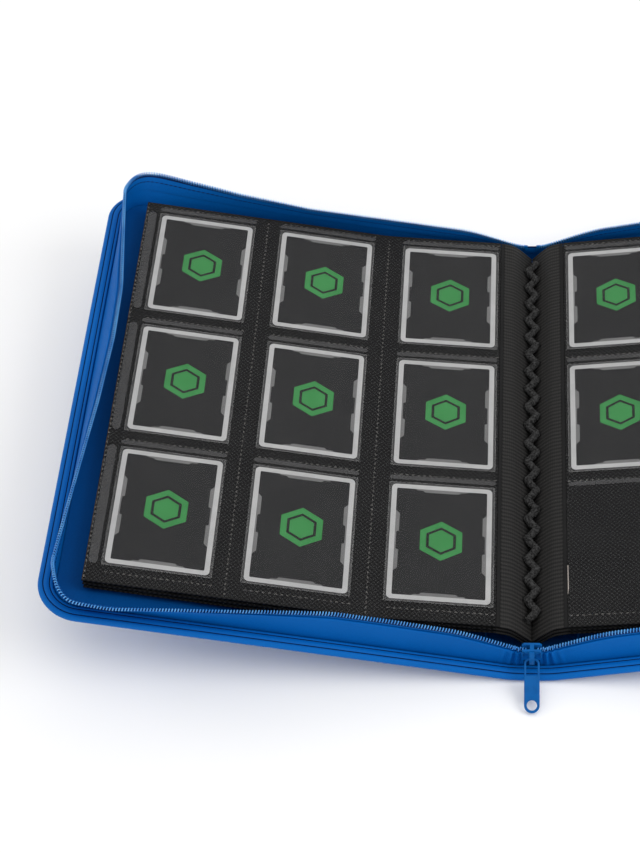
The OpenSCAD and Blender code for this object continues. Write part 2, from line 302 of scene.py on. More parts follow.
def woven(name, colour, shade, pitch, depth, roughness, gloss):
    """Fine plain-weave cloth with a little colour variation."""
    g = Nodes(name)
    u, v = g.cloth()
    weave = g.math("MULTIPLY", g.wave(u, pitch), g.wave(v, pitch))
    grain = g.noise(900)
    g.bump(g.math("ADD", g.math("MULTIPLY", weave, 0.35), grain), depth)
    tone = g.blend(grain, 0.45, g.noise(14, 2.0), 0.55)
    return g.finish(g.ramp(tone, shade, colour, 0.30, 0.62), roughness, Specular_IOR_Level=gloss)


def diamond_cloth(name, dark, light, pitch, depth, roughness, gloss):
    """Page backing: a raised diamond rib in soft black plastic cloth."""
    g = Nodes(name)
    u, v = g.cloth()
    rib = g.math("MULTIPLY", g.wave(u, pitch), g.wave(v, pitch))
    height = g.math("ADD", g.math("MULTIPLY", rib, 0.5), 0.5)
    g.bump(height, depth)
    tone = g.blend(height, 0.75, g.noise(40), 0.25)
    return g.finish(g.ramp(tone, dark, light, 0.15, 0.95), roughness, Specular_IOR_Level=gloss)


def ribbed_cloth(name, dark, light, pitch, depth, roughness, gloss):
    """Folded page cloth in the gutter: ribs across it, each a row of fine dots."""
    g = Nodes(name)
    u, v = g.cloth()
    height = g.math("ADD", g.blend(g.wave(u, pitch), 0.35, g.wave(v, pitch / 2), 0.15), 0.5)
    g.bump(height, depth)
    return g.finish(g.ramp(height, dark, light, 0.1, 1.0), roughness, Specular_IOR_Level=gloss)


def clear(name, tint, alpha, roughness):
    """Clear plastic film, slightly uneven."""
    g = Nodes(name)
    g.bump(g.noise(60, 2.0), 0.0004)
    haze = g.math("ADD", g.math("MULTIPLY", g.noise(120, 2.0), 0.5 * alpha), 0.75 * alpha)
    return g.finish(tint, roughness, Alpha=haze)


def enamel(name, colour, shade):
    """Painted zip metal, with its colour a little worn."""
    g = Nodes(name)
    g.bump(g.noise(700, 2.0), 0.00003)
    return g.finish(g.ramp(g.noise(160), shade, colour, 0.35, 0.6), 0.42, Specular_IOR_Level=0.12)


def plain(name, colour, shade, roughness, grain=300, depth=0.00008, gloss=0.12):
    """Moulded or printed surface with fine grain."""
    g = Nodes(name)
    g.bump(g.noise(grain), depth)
    tone = g.noise(grain / 4)
    return g.finish(g.ramp(tone, shade, colour, 0.35, 0.65), roughness, Specular_IOR_Level=gloss)


cover_cloth = woven("cover_cloth", rgb(0, 100, 182), rgb(0, 92, 170), 0.9, 0.00006, 0.5, 0.1)
wall_cloth = woven("wall_cloth", rgb(0, 95, 176), rgb(0, 88, 165), 0.8, 0.00006, 0.55, 0.08)
# Lining: the same blue fabric as the wall, coloured darker all over as painted shade from the leaves over it
lining_cloth_painted_shade = woven("lining_cloth_painted_shade", rgb(0, 73, 139), rgb(0, 67, 130), 0.8, 0.00006, 0.6, 0.06)
# Dark copy of the tape cloth: painted shade on the closed zip behind the slider
tape_stub_painted_shade = woven("tape_stub_painted_shade", rgb(0, 54, 108), rgb(0, 42, 88), 1.3, 0.00012, 0.7, 0.04)
tape_cloth = woven("tape_cloth", rgb(0, 93, 173), rgb(0, 84, 158), 1.3, 0.00012, 0.6, 0.08)
seam_thread = plain("seam_thread", rgb(8, 40, 92), rgb(4, 28, 70), 0.8)
# Coil teeth lighter than the tape: the coil's own blue with painted highlight
coil_blue_and_highlight = plain("coil_blue_and_highlight", rgb(92, 164, 226), rgb(52, 128, 204), 0.32, gloss=0.35)
zip_enamel = enamel("zip_enamel", rgb(0, 88, 158), rgb(0, 80, 146))
page_cloth = diamond_cloth("page_cloth", rgb(15, 15, 16), rgb(46, 46, 46), 3.0, 0.0002, 0.55, 0.06)
web_cloth = ribbed_cloth("web_cloth", rgb(27, 27, 27), rgb(50, 49, 48), 2.9, 0.0004, 0.6, 0.12)
page_edge = plain("page_edge", rgb(70, 60, 50), rgb(30, 27, 25), 0.6, 900)
lace_yarn = plain("lace_yarn", rgb(74, 74, 74), rgb(18, 18, 18), 0.9, 3600, 0.0008)
film_clear = clear("film_clear", rgb(120, 120, 122), 0.006, 0.16)
film_edge = clear("film_edge", rgb(140, 140, 141), 0.1, 0.3)
sleeve_clear = clear("sleeve_clear", rgb(130, 130, 130), 0.01, 0.3)
sleeve_margin = clear("sleeve_margin", rgb(150, 150, 150), 0.14, 0.3)
sleeve_fold = clear("sleeve_fold", rgb(180, 180, 180), 0.2, 0.3)
weld_film = clear("weld_film", rgb(160, 158, 154), 0.13, 0.3)
# Bright tint of the painted highlights on the film next to the gutter
film_glint = clear("film_glint", rgb(205, 196, 188), 0.4, 0.2)
card_field = plain("card_field", rgb(45, 45, 46), rgb(43, 43, 44), 0.6)
card_border = plain("card_border", rgb(190, 190, 190), rgb(182, 182, 182), 0.5)
card_notch = plain("card_notch", rgb(122, 122, 122), rgb(116, 116, 116), 0.55)
card_green = plain("card_green", rgb(68, 144, 82), rgb(62, 136, 76), 0.5)
board_grey = plain("board_grey", rgb(120, 108, 90), rgb(100, 90, 75), 0.9)
spine_black = plain("spine_black", rgb(40, 40, 42), rgb(28, 28, 30), 0.7)


# ---- camera, light and floor ----

CAMERA_PLACE = (-1.55, -847.9, 1027.3)
CAMERA_LENS = 85.03
CAMERA_HEADING, CAMERA_DROP, CAMERA_ROLL = (math.radians(a) for a in (-9.164, 49.480, 6.913))


def set_camera():
    data = bpy.data.cameras.new("camera")
    data.lens, data.sensor_width, data.clip_end = CAMERA_LENS, 36.0, 20.0
    ahead = Vector((math.sin(CAMERA_HEADING) * math.cos(CAMERA_DROP),
                    math.cos(CAMERA_HEADING) * math.cos(CAMERA_DROP), -math.sin(CAMERA_DROP)))
    level = ahead.cross(Vector((0, 0, 1))).normalized()
    over = level.cross(ahead)
    right = level * math.cos(CAMERA_ROLL) - over * math.sin(CAMERA_ROLL)
    up = right.cross(ahead)
    turn = Matrix((right, up, -ahead)).transposed().to_4x4()
    camera = bpy.data.objects.new("camera", data)
    camera.matrix_world = Matrix.Translation(Vector(CAMERA_PLACE) * MM) @ turn
    bpy.context.scene.collection.objects.link(camera)
    bpy.context.scene.camera = camera


def area_light(name, place_at, target, size, power, colour):
    data = bpy.data.lights.new(name, "AREA")
    data.shape, data.size, data.energy, data.color = "DISK", size, power, colour
    light = bpy.data.objects.new(name, data)
    light.location = place_at
    light.rotation_euler = (Vector(target) - Vector(place_at)).to_track_quat("-Z", "Y").to_euler()
    bpy.context.scene.collection.objects.link(light)


def set_studio():
    world = bpy.data.worlds.new("studio")
    world.use_nodes = True
    world.node_tree.nodes["Background"].inputs[0].default_value = (1, 1, 1, 1)
    world.node_tree.nodes["Background"].inputs[1].default_value = 0.8
    bpy.context.scene.world = world
    bpy.context.scene.view_settings.view_transform = "Standard"
    area_light("top_light", (-0.2, -0.3, 2.2), (0, 0, 0), 1.8, 6, (1, 1, 1))
    area_light("key_light", (1.5, -0.5, 1.5), (-0.1, 0, 0), 1.4, 16, (1, 1, 1))
    area_light("warm_light", (-1.6, 0.5, 1.1), (0, 0, 0), 0.7, 2.5, (1, 0.93, 0.85))
    bpy.ops.mesh.primitive_plane_add(size=12, location=(0, 0, -0.0005))
    floor = bpy.context.object
    floor.name = "floor"
    g = Nodes("floor_paper")
    g.bump(g.noise(30), 0.0001)
    floor.data.materials.append(g.finish((0.97, 0.97, 0.97, 1), 0.9))


set_camera()
set_studio()


# ---- cover shells and linings ----

PANEL_INSET = 12.0
# Rim's section from the underside round the edge to the wall's foot, as inset and height.
# Two narrow grooves part three soft welts.
RIM = [(PANEL_INSET, 0), (7, 0), (3.2, 0.05), (1.5, 0.3), (0.5, 0.95), (0.1, 1.9), (0.05, 2.7), (0.4, 3.6),
       (1.1, 4.3), (1.9, 4.65), (2.7, 4.55), (2.92, 4.2), (3.18, 4.2), (3.4, 4.65), (4.5, 5.0), (5.5, 5.0),
       (6.6, 4.7), (6.82, 4.25), (7.08, 4.25), (7.3, 4.7), (8.1, 4.85), (8.8, 4.6), (9.2, 3.8), (9.4, 2.6),
       (PANEL_INSET, 2.6)]
RIM_GROOVES = (10, 11, 12, 16, 17, 18)  # the rim's narrow stretches of dark thread
SPINE_FOLLOWS = 23.9  # the fabric leaves the spine's body here
COVER_FOLLOWS = 36.4  # and follows the cover's body after this


def inset_line(side, inset, height):
    """Points round a half at one inset and height, at each station."""
    s, v, ds, dv = outline(STATIONS)
    return place(side, s + ds * inset, v + dv * inset, height)


def panel_grid(inset):
    """s and v over the area that a half's inset outline encloses, one row per station."""
    near = STATIONS[STATIONS <= STRAIGHT + CORNER + 1e-6]
    s, v, ds, dv = outline(near)
    s, v = s + ds * inset, v + dv * inset
    across = np.linspace(1, -1, FORE_STEPS + 1)
    return np.repeat(s[:, None], FORE_STEPS + 1, 1), v[:, None] * across


def blended(obj, side, start=SPINE_FOLLOWS, end=COVER_FOLLOWS, body=None):
    """Fabric that crosses the crease, with its transform baked into its mesh."""
    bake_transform(obj)


def cover_shell(side):
    """Outer fabric of a half over its board, with its welted rim. The back one has the spine's too."""
    cover = COVERS[side]
    n, m = len(STATIONS), len(RIM)
    rings = np.stack([inset_line(side, i, w) for i, w in RIM], 1)
    faces = grid_faces(n, m)
    finish = [int(j in RIM_GROOVES) for j in range(m - 1)] * (n - 1)
    s, v = panel_grid(PANEL_INSET)
    rows, columns = s.shape
    points = [rings.reshape(-1, 3)]
    uv = [ring_uv(rings)]
    weld = {}
    low_start, high_start = n * m, n * m + rows * columns
    # the flat underside and the flat inside, each welded to one edge of the rim
    for start, column, order in ((low_start, 0, 1), (high_start, m - 1, -1)):
        points.append(place(side, s, v, RIM[column][1]).reshape(-1, 3))
        uv.append(np.stack([s, v], -1).reshape(-1, 2))
        for k, e in enumerate(border(rows, columns)[:2 - columns]):
            weld[start + e] = k * m + column
        faces += [tuple(weld.get(i, i) for i in f[::order]) for f in grid_faces(rows, columns, start)]
        finish += [0] * ((rows - 1) * (columns - 1))
    middle = [low_start + j for j in range(columns - 2, 0, -1)]
    cap = list(range(m)) + [high_start + j for j in range(1, columns - 1)]
    cap += [(n - 1) * m + j for j in range(m - 1, -1, -1)] + middle
    faces.append(tuple(cap))
    finish.append(0)
    shell = piece(cover + "_shell", np.concatenate(points), faces, [cover_cloth, seam_thread], finish,
                  np.concatenate(uv))
    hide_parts(cover + "_skin", cover + "_edge_band", cover + "_crease")
    if side > 0:
        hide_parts("spine_skin", "spine_edge_band")
    blended(shell, side)


LINING_INSET = 11.2
LINING_T = 0.5
LINING_SPINE, LINING_DIP, LINING_COVER = 2.9, 2.5, 4.4


def lining_top(s):
    """Height of the lining: low on the spine, a shallow dip at the crease, high on the board."""
    dip = np.exp(-((s - S_CREASE) / 3.5) ** 2) * (LINING_SPINE - LINING_DIP)
    return LINING_SPINE - dip + (LINING_COVER - LINING_SPINE) * smooth((s - S_CREASE) / 7)


def lining(side):
    """Inner fabric of a half, over the board and half of the spine, in a darker cloth for painted shade from
    the leaves.
    """
    cover = COVERS[side]
    s, v = panel_grid(LINING_INSET)
    top, under = (place(side, s, v, lining_top(s) - depth) for depth in (0, LINING_T))
    obj = sheet_between(cover + "_lining_cloth_painted_shade", top, under, s, v, lining_cloth_painted_shade)
    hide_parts(cover + "_lining")
    if side > 0:
        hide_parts("spine_lining")
    blended(obj, side)


# ---- zip side walls ----

WALL_INSET = 9.8
WALL_T = 1.1
FOLD_H = 4.6  # the wall leans only above this
FREE_H = 27.2  # height of the teeth up the wall
CLOTH_TOP = 22.9
TAPE_LOW, TAPE_TOP = 15.8, 26.2
TAPE_GAP_SHADE = (4, 5, 6)  # stretches of the tape's section round its top edge, under the teeth, in the dark thread colour: painted shade under and between the teeth
GORE_END = 58.4  # the wall has its full height after this
GORE_DIP = 0.68  # share of its height at the spine's middle
# Lean of the wall's free edge towards the pages, at lengths from the near end of the crease
LEAN = [(60, 1.5), (95, 1.5), (160, -7), (225, -14), (250, -13), (270, -4), (320, -0.5), (410, 6.5),
        (465, 9), (510, 8.4), (595, -1), (615, -3), (640, -12.5), (665, -6), (700, 0), (750, 4)]
NEAR_LEAN, FAR_LEAN = -0.5, 1.6  # lean at the two ends of the spine
PLEAT = 2.6  # depth of the gathers beside the slider
WALL_BLEND = (5, 57)  # the wall passes from the spine to the cover here


def lean_at(p):
    """Lean of the free edge, eased between the places in LEAN."""
    at, lean = np.array([(-S_CREASE, NEAR_LEAN), *LEAN, (AROUND - S_CREASE, FAR_LEAN)]).T
    fine = np.linspace(0, AROUND, 1500)
    raw = np.interp(fine, at + S_CREASE, lean)
    window = np.hanning(33)[1:-1]
    padded = np.pad(raw, len(window) // 2, mode="edge")
    eased = np.convolve(padded, window / window.sum(), "valid")
    return np.interp(p, fine, eased)


def wall_point(side, p, h, t):
    """Point of a side wall at p round the half, h up it, and t in from its outer face."""
    p, h, t = np.broadcast_arrays(np.asarray(p, float), h, t)
    s, v, ds, dv = outline(p)
    lean = lean_at(p)
    up = FREE_H - FOLD_H
    share = np.maximum(h - FOLD_H, 0) / up
    rise = np.sqrt(np.maximum(up ** 2 - lean ** 2, 1))
    dip = GORE_DIP + (1 - GORE_DIP) * smooth(np.minimum(p, AROUND - p) / GORE_END)
    pleat = PLEAT * np.exp(-(p / 16) ** 2) * smooth((p - 5.5) / 3) * np.sin(p * 1.15)
    pleat = pleat * smooth(h / 12) * (1 - 0.75 * smooth((h - 17) / 9))
    belly = 0.9 * np.sin(math.pi * np.clip(share, 0, 1)) * np.sign(lean) * np.minimum(abs(lean) / 6, 1)
    inset = WALL_INSET + t + lean * share - belly + pleat
    w = SKIN + (np.minimum(h, FOLD_H) + rise * share) * dip
    return place(side, s + ds * inset, v + dv * inset, w)


def wall_strip(side, name, section, materials, second=()):
    """Closed strip round a half. Stretches of its section in second have the second material."""
    n, m = len(STATIONS), len(section)
    rings = np.stack([wall_point(side, STATIONS, h, t) for h, t in section], 1)
    finish = [int(j in second) for j in range(m)] * (n - 1) + [0, 0]
    return piece(name, rings.reshape(-1, 3), tube(n, m), materials, finish, ring_uv(rings))


def gusset(side):
    """The fabric side wall of a half, and the zip tape inside it."""
    cover = COVERS[side]
    heights = [0.6, 2.5, FOLD_H, 7, 10, 13, 16, 19, 21.3, 22.4]
    section = [(h, 0.0) for h in heights] + [(CLOTH_TOP, 0.25), (CLOTH_TOP, WALL_T - 0.25)]
    section += [(h, WALL_T) for h in reversed(heights)]
    wall = wall_strip(side, cover + "_side_wall", section, wall_cloth)
    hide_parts(cover + "_gusset_wall", cover + "_near_gore", cover + "_far_gore")
    blended(wall, side, *WALL_BLEND)
    t = WALL_T + 0.05
    section = [(TAPE_LOW, t), (18, t), (21, t), (23.2, t), (24.6, t - 0.3), (TAPE_TOP, t - 0.45),
               (TAPE_TOP, t + 0.15), (24.6, t + 0.35), (23.2, t + 0.6), (21, t + 0.65), (18, t + 0.65),
               (TAPE_LOW, t + 0.45)]
    tape = wall_strip(side, cover + "_tape", section, [tape_cloth, seam_thread], TAPE_GAP_SHADE)
    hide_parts(cover + "_zip_tape")
    blended(tape, side, *WALL_BLEND)


TOOTH_PITCH = 1.8
TOOTH_R = 0.4
TOOTH_SKEW = 0.7  # how far a tooth's loop runs along the tape
# One tooth's loop over the tape's edge, as height and distance across
TOOTH_LOOP = [(-1.2, -0.6), (-0.2, -0.65), (0.6, -0.45), (0.9, 0.0), (0.6, 0.45), (-0.2, 0.65), (-1.2, 0.6)]


def teeth(side):
    """The coil's teeth: a small loop over the tape's edge at each pitch."""
    cover = COVERS[side]
    p = np.arange(3.6, AROUND - 5.5, TOOTH_PITCH)
    middle = wall_point(side, p, FREE_H - 0.3, WALL_T + 0.2)
    up = unit(middle - wall_point(side, p, FREE_H - 3, WALL_T + 0.2))
    along = unit(wall_point(side, p + 0.5, FREE_H, 1) - wall_point(side, p - 0.5, FREE_H, 1))
    across = np.cross(up, along)
    heading = unit(np.gradient(np.array(TOOTH_LOOP), axis=0))
    rings = []
    for (lift, out), (rise, sweep), share in zip(TOOTH_LOOP, heading, np.linspace(-0.5, 0.5, len(heading))):
        centre = middle + up * lift + across * out + along * TOOTH_SKEW * share
        rings.append(ring_round(centre, up * sweep - across * rise, along, TOOTH_R, 5))
    # the teeth's light blue is partly painted highlight
    obj = swept_copies(cover + "_teeth", np.stack(rings, 1), coil_blue_and_highlight)
    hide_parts(cover + "_zip_coil")
    blended(obj, side, *WALL_BLEND)


STITCH_H = 21.8  # height of the stitches up the wall
STITCH_PITCH = 3.3
STITCH_LEN = 2.9
STITCH_R = 0.3


def stitches(side):
    """The row of lock stitches that holds the tape to the wall."""
    cover = COVERS[side]
    depth = WALL_T + 0.75
    p = np.arange(9, AROUND - 9, STITCH_PITCH)
    up = unit(wall_point(side, p, STITCH_H + 0.5, depth) - wall_point(side, p, STITCH_H - 0.5, depth))
    along = unit(wall_point(side, p + 0.5, STITCH_H, depth) - wall_point(side, p - 0.5, STITCH_H, depth))
    out = np.cross(up, along)
    rings = []
    for share in np.linspace(0, 1, 5):
        centre = wall_point(side, p + (share - 0.5) * STITCH_LEN, STITCH_H, depth)
        swell = STITCH_R * (0.35 + 0.65 * math.sin(math.pi * share))
        rings.append(ring_round(centre, up, out, swell, 5))
    obj = swept_copies(cover + "_tape_stitches", np.stack(rings, 1), seam_thread)
    blended(obj, side, *WALL_BLEND)


# ---- leaves ----

# The top leaf's upper face, as x and z at its crease, its bend and its fore edge
CREASE = np.array([21.5, 29.7])
BEND = np.array([100.0, 37.9])
FORE_EDGE = np.array([265.5, 72.8])
PAGE_H = box_mm("right_sheet_1")[1][1] * 2
LEAF_PITCH = box_mm("right_sheet_1")[1][2] - box_mm("right_sheet_2")[1][2]
SHEET_T = 0.8
ROUND = 6.0  # half length of the rounded bend
inner_slope = math.atan2(*(BEND - CREASE)[::-1])
outer_slope = math.atan2(*(FORE_EDGE - BEND)[::-1])
INNER_LEN = float(np.hypot(*(BEND - CREASE)))
LEAF_LEN = INNER_LEN + float(np.hypot(*(FORE_EDGE - BEND)))
leaf_d = np.linspace(0, LEAF_LEN, 2000)
leaf_turn = smooth((leaf_d - INNER_LEN + ROUND) / (2 * ROUND))
leaf_angle = inner_slope + (outer_slope - inner_slope) * leaf_turn
leaf_x, leaf_z = (first + np.concatenate([[0], np.cumsum(share[:-1] * np.diff(leaf_d))])
                  for first, share in zip(CREASE, (np.cos(leaf_angle), np.sin(leaf_angle))))


def leaf_point(side, d, y, t, leaf=1):
    """Point of a leaf, d out from its crease, and t over its upper face."""
    d, y, t = np.broadcast_arrays(np.asarray(d, float), y, t)
    angle = np.interp(d, leaf_d, leaf_angle)
    x = np.interp(d, leaf_d, leaf_x) - t * np.sin(angle)
    z = np.interp(d, leaf_d, leaf_z) + t * np.cos(angle) - LEAF_PITCH * (leaf - 1)
    return np.stack([side * x, y, z], -1)


ROW_PITCH, ROW_SHIFT = 104.6, 1.6
POCKET_W, POCKET_H = 69.0, 95.0
COLUMNS = [34.8, INNER_LEN + 42.3, INNER_LEN + 126.0]
CARD_W, CARD_H, CARD_T = 63.0, 88.0, 0.35
FILM_BASE = 0.2  # height of the flat film over the backing
FILM_HIGH, FILM_EMPTY = 0.93, 0.55  # its height over a filled and an empty pocket
FILM_EASE = 1.3  # it slopes down over this width round each pocket
FILM_T = 0.12
rows_y = [ROW_SHIFT + (1 - row) * ROW_PITCH for row in range(3)]
ROWS_FILLED = {-1: 3, 1: 2}


def leaf_slab(side, name, margin, low, high, material, leaf):
    """Closed sheet over all but a leaf's margins, between two heights over its wavy upper face."""
    d, y = np.meshgrid(np.linspace(margin[0], LEAF_LEN - margin[0], 60),
                       np.linspace(margin[1] - PAGE_H / 2, PAGE_H / 2 - margin[1], 36), indexing="ij")
    wave = -0.25 * (leaf - 1) * (1 + np.sin(d / 31 + leaf)) * smooth(d / 40)
    top, under = (leaf_point(side, d, y, wave + t, leaf) for t in (high, low))
    return sheet_between(name, top, under, d, y, material)


def leaf_sheets(side):
    """The backings of a side's leaves, and the flat pocket films of the two lower ones."""
    cover, page = COVERS[side], PAGES[side]
    for leaf in (1, 2, 3):
        obj = leaf_slab(side, f"{page}_backing_{leaf}", (0, 0), -SHEET_T, 0, page_cloth, leaf)
        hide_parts(f"{page}_sheet_{leaf}")
        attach(obj, f"{page}_leaf_{leaf}")
        if leaf > 1:
            film = leaf_slab(side, f"{page}_pockets_{leaf}", (0.5, 1), 0.03, 0.23, film_clear, leaf)
            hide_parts(f"{page}_film_{leaf}")
            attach(film, f"{page}_leaf_{leaf}")


def film_height(d, y, filled):
    """Height of the pocket film over the top leaf's backing."""
    height = np.full(np.broadcast(d, y).shape, FILM_BASE)
    for row in range(3):
        for column in COLUMNS:
            across = POCKET_W / 2 - np.abs(d - column)
            along = POCKET_H / 2 - np.abs(y - rows_y[row])
            inside = smooth(np.minimum(across, along) / FILM_EASE)
            high = FILM_HIGH if row < filled else FILM_EMPTY
            height = np.maximum(height, FILM_BASE + (high - FILM_BASE) * inside)
    return height


def lines(low, high, centres, half):
    """Grid lines with extra ones where the film slopes down round each pocket."""
    found = [low, high]
    for c in centres:
        for k in (0, 0.3, 0.6, 0.85, 1.0):
            found += [c - half + k * FILM_EASE, c + half - k * FILM_EASE]
        found += list(np.linspace(c - half + FILM_EASE, c + half - FILM_EASE, 6))
    return np.unique(np.round(found, 4))


def pocket_film(side):
    """The top leaf's film, raised over its pockets."""
    page = PAGES[side]
    half = PAGE_H / 2 - 1
    d_lines = lines(0.4, LEAF_LEN - 0.4, COLUMNS, POCKET_W / 2)
    d_lines = np.union1d(d_lines, np.linspace(INNER_LEN - ROUND, INNER_LEN + ROUND, 7))
    y_lines = lines(-half, half, rows_y, POCKET_H / 2)
    d, y = np.meshgrid(d_lines, y_lines, indexing="ij")
    height = film_height(d, y, ROWS_FILLED[side])
    top, under = (leaf_point(side, d, y, height - depth) for depth in (0, FILM_T))
    obj = sheet_between(page + "_pockets_1", top, under, d, y, film_clear, sharp=60)
    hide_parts(page + "_film_1")
    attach(obj, page + "_leaf_1")


def leaf_bar(side, a, b, width, height, base=FILM_BASE):
    """Points of a low round-ended bar of film lying on the top leaf, from a to b as (d, y)."""
    steps, rounds = 24, 10
    a, b = np.array(a), np.array(b)
    length = np.linalg.norm(b - a)
    way = (b - a) / length
    across = np.array([-way[1], way[0]])
    share = np.linspace(0, 1, steps)
    # closer rings at the ends, where the outline is a half circle
    at = length * (0.5 - 0.5 * np.cos(math.pi * share))
    reach = np.minimum(at, length - at)
    half = width / 2 * np.sqrt(np.clip(1 - (1 - np.clip(reach / (width / 2), 0, 1)) ** 2, 0.004, 1))
    points = np.zeros((steps, rounds, 3))
    for j, turn in enumerate(2 * math.pi * np.arange(rounds) / rounds):
        out = half * math.cos(turn)
        tall = base + height / 2 * (1 + math.sin(turn)) * half / (width / 2)
        flat = a + way * at[:, None] + across * out[:, None]
        points[:, j] = leaf_point(side, flat[:, 0], flat[:, 1], tall)
    return points


def film_bars(side):
    """Raised round-ended strips of doubled film beside and above the cards."""
    page = PAGES[side]
    bars = []
    half_w, half_h = POCKET_W / 2, POCKET_H / 2
    inner, outer = COLUMNS[0] - half_w - 2.3, COLUMNS[2] + half_w + 3.9
    for y in rows_y:
        for d, width in ((inner, 3.6), (outer, 5.6)):
            bars.append(leaf_bar(side, (d, y + half_h - 1), (d, y - half_h + 2), width, 0.5))
        over = y + half_h + 1.9
        for c in COLUMNS:
            bars.append(leaf_bar(side, (c - half_w + 1, over), (c + half_w - 1, over), 3.2, 0.45))
    obj = swept_copies(page + "_film_strips", bars, film_edge)
    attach(obj, page + "_leaf_1")


def film_glints(side):
    """Painted highlights at the gutter side of the pockets, where the film bulges: thin bars of bright film.
    """
    page = PAGES[side]
    d0 = COLUMNS[0] - POCKET_W / 2 - 1.0
    painted_glints = [((d0, (upper + lower) / 2 + 3), (d0 - 1.3, (upper + lower) / 2 - 3))
             for upper, lower in zip(rows_y, rows_y[1:])]
    foot = rows_y[-1] - POCKET_H / 2
    painted_glints += [((d0 + 0.9, foot + 34), (d0 + 1.1, foot + 16)), ((d0 + 1.1, foot + 17), (d0 - 0.6, foot + 4))]
    bars = [leaf_bar(side, *fold, 0.7, 0.3, FILM_BASE + 0.1) for fold in painted_glints]
    obj = swept_copies(page + "_film_folds", bars, film_glint)
    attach(obj, page + "_leaf_1")


WELD_PITCH = 3.7
WELD_DOT = [(1.0, 0.02), (0.78, 0.22), (0.3, 0.3)]  # a dot's rings, as share of its size and height


def weld_dots(side):
    """The dotted welds that join the film to the backing."""
    page = PAGES[side]
    half_w, half_h = POCKET_W / 2, POCKET_H / 2
    spots = []
    for c in COLUMNS:
        for d in np.arange(c - half_w + 1.5, c + half_w - 1, WELD_PITCH):
            spots += [(d, y + half_h + 4.4, 0) for y in rows_y]
            spots.append((d, rows_y[-1] - half_h - 3.2, 0))
    gaps = [(a + b) / 2 for a, b in zip(COLUMNS, COLUMNS[1:])]
    for y in np.arange(-PAGE_H / 2 + 3, PAGE_H / 2 - 2, WELD_PITCH):
        for d in (COLUMNS[0] - half_w - 4.7, *gaps, COLUMNS[2] + half_w + 7.6):
            spots.append((d, y, 1))
    a = 2 * math.pi * np.arange(8) / 8
    dots = []
    for d, y, upright in spots:
        wide, tall = (0.55, 1.0) if upright else (1.0, 0.55)
        dots.append([leaf_point(side, d + wide * share * np.cos(a), y + tall * share * np.sin(a),
                                FILM_BASE + lift) for share, lift in WELD_DOT])
    obj = swept_copies(page + "_weld_dots", dots, weld_film, sharp=38)
    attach(obj, page + "_leaf_1")


def page_bead(side):
    """The heat-sealed bead along the top leaf's fore edge."""
    page = PAGES[side]
    y = np.arange(-PAGE_H / 2 + 0.4, PAGE_H / 2 - 0.4, 1.1)[:, None]
    a = 2 * math.pi * np.arange(6) / 6
    swell = 0.42 + 0.14 * np.sin(y * 2.9)
    points = leaf_point(side, LEAF_LEN - 0.35 + swell * np.cos(a), y, -0.25 + swell * np.sin(a))
    obj = piece(page + "_page_bead", points.reshape(-1, 3), tube(*points.shape[:2]), page_edge, sharp=80)
    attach(obj, page + "_leaf_1")


# ---- cards ----

CARD_R = 3.0
CARD_LIFT = 0.16  # height of the cards over the backing
BORDER_W = 3.2
PRINT_LOW = CARD_T - 0.07  # the printed shapes start here and end a little higher
FIELD, BORDER, NOTCH, MARK = range(4)  # places in the cards' list of materials


def rounded_outline(half_w, half_h, r):
    """Corner points of a rounded rectangle, anticlockwise."""
    found = []
    for corner, (x, y) in enumerate([(1, 1), (-1, 1), (-1, -1), (1, -1)]):
        for k in range(7):
            a = math.pi / 2 * (corner + k / 6)
            found.append((x * (half_w - r) + r * math.cos(a), y * (half_h - r) + r * math.sin(a)))
    return np.array(found)


def step_notch(half, depth, reach):
    """Two-step plate on a border's inner edge, from its base line at y 0, growing to depth."""
    low = depth * 0.45
    return np.array([(-half, 0), (half, 0), (half - low, low), (reach + depth - low, low), (reach, depth),
                     (-reach, depth), (-reach - depth + low, low), (low - half, low)])


def card_print():
    """Flat shapes of a card, each as its outline, its hole's outline, two heights and a material."""
    outer = rounded_outline(CARD_W / 2, CARD_H / 2, CARD_R)
    inner_w, inner_h = CARD_W / 2 - BORDER_W, CARD_H / 2 - BORDER_W
    inner = rounded_outline(inner_w, inner_h, 0.8)
    shapes = [(outer, None, 0.0, CARD_T - 0.06, FIELD), (outer, inner, CARD_T - 0.06, CARD_T, BORDER)]
    notch = step_notch(16.5, 2.4, 10.5)
    tooth = np.array([(-8.6, 0), (8.6, 0), (5.9, 2.5), (-7.6, 2.5)])
    bar = np.array([(inner_w - 0.9, -9.0), (inner_w, -9.0), (inner_w, 9.0), (inner_w - 0.9, 9.0)])
    for end in (-1, 1):
        spots = [np.stack([notch[:, 0], inner_h - notch[:, 1]], 1) * end]
        for half in (-1, 1):
            spots.append(np.stack([end * (inner_w - tooth[:, 1]), half * (tooth[:, 0] + 14.8)], 1))
        shapes += [(spot, None, PRINT_LOW, CARD_T - 0.02, NOTCH) for spot in spots]
        shapes.append((bar * (end, 1), None, PRINT_LOW, CARD_T - 0.025, NOTCH))
    turn = math.pi / 2 + math.pi / 3 * np.arange(6)
    hexagon = np.stack([np.cos(turn), np.sin(turn)], 1)
    middle = np.array([0.4, 1.3])
    for size, hole in ((15.0, hexagon * 10.6 + middle), (8.6, None)):
        shapes.append((hexagon * size + middle, hole, PRINT_LOW, CARD_T - 0.015, MARK))
    return shapes


def prism(outer, low, high, inner=None):
    """Points as (x, y, height) and faces of a flat prism, or of a ring if it has a hole."""
    n = len(outer)
    loops = [(outer, low), (outer, high)]
    if inner is not None:
        loops += [(inner, high), (inner, low)]
    points = [(x, y, height) for loop, height in loops for x, y in loop]
    if inner is None:
        faces = [tuple(range(n - 1, -1, -1)), tuple(range(n, 2 * n))]
        return points, faces + [(i, (i + 1) % n, n + (i + 1) % n, n + i) for i in range(n)]
    faces = [(a + i, a + (i + 1) % n, b + (i + 1) % n, b + i)
             for a, b in ((0, n), (n, 2 * n), (2 * n, 3 * n), (3 * n, 0)) for i in range(n)]
    return points, faces


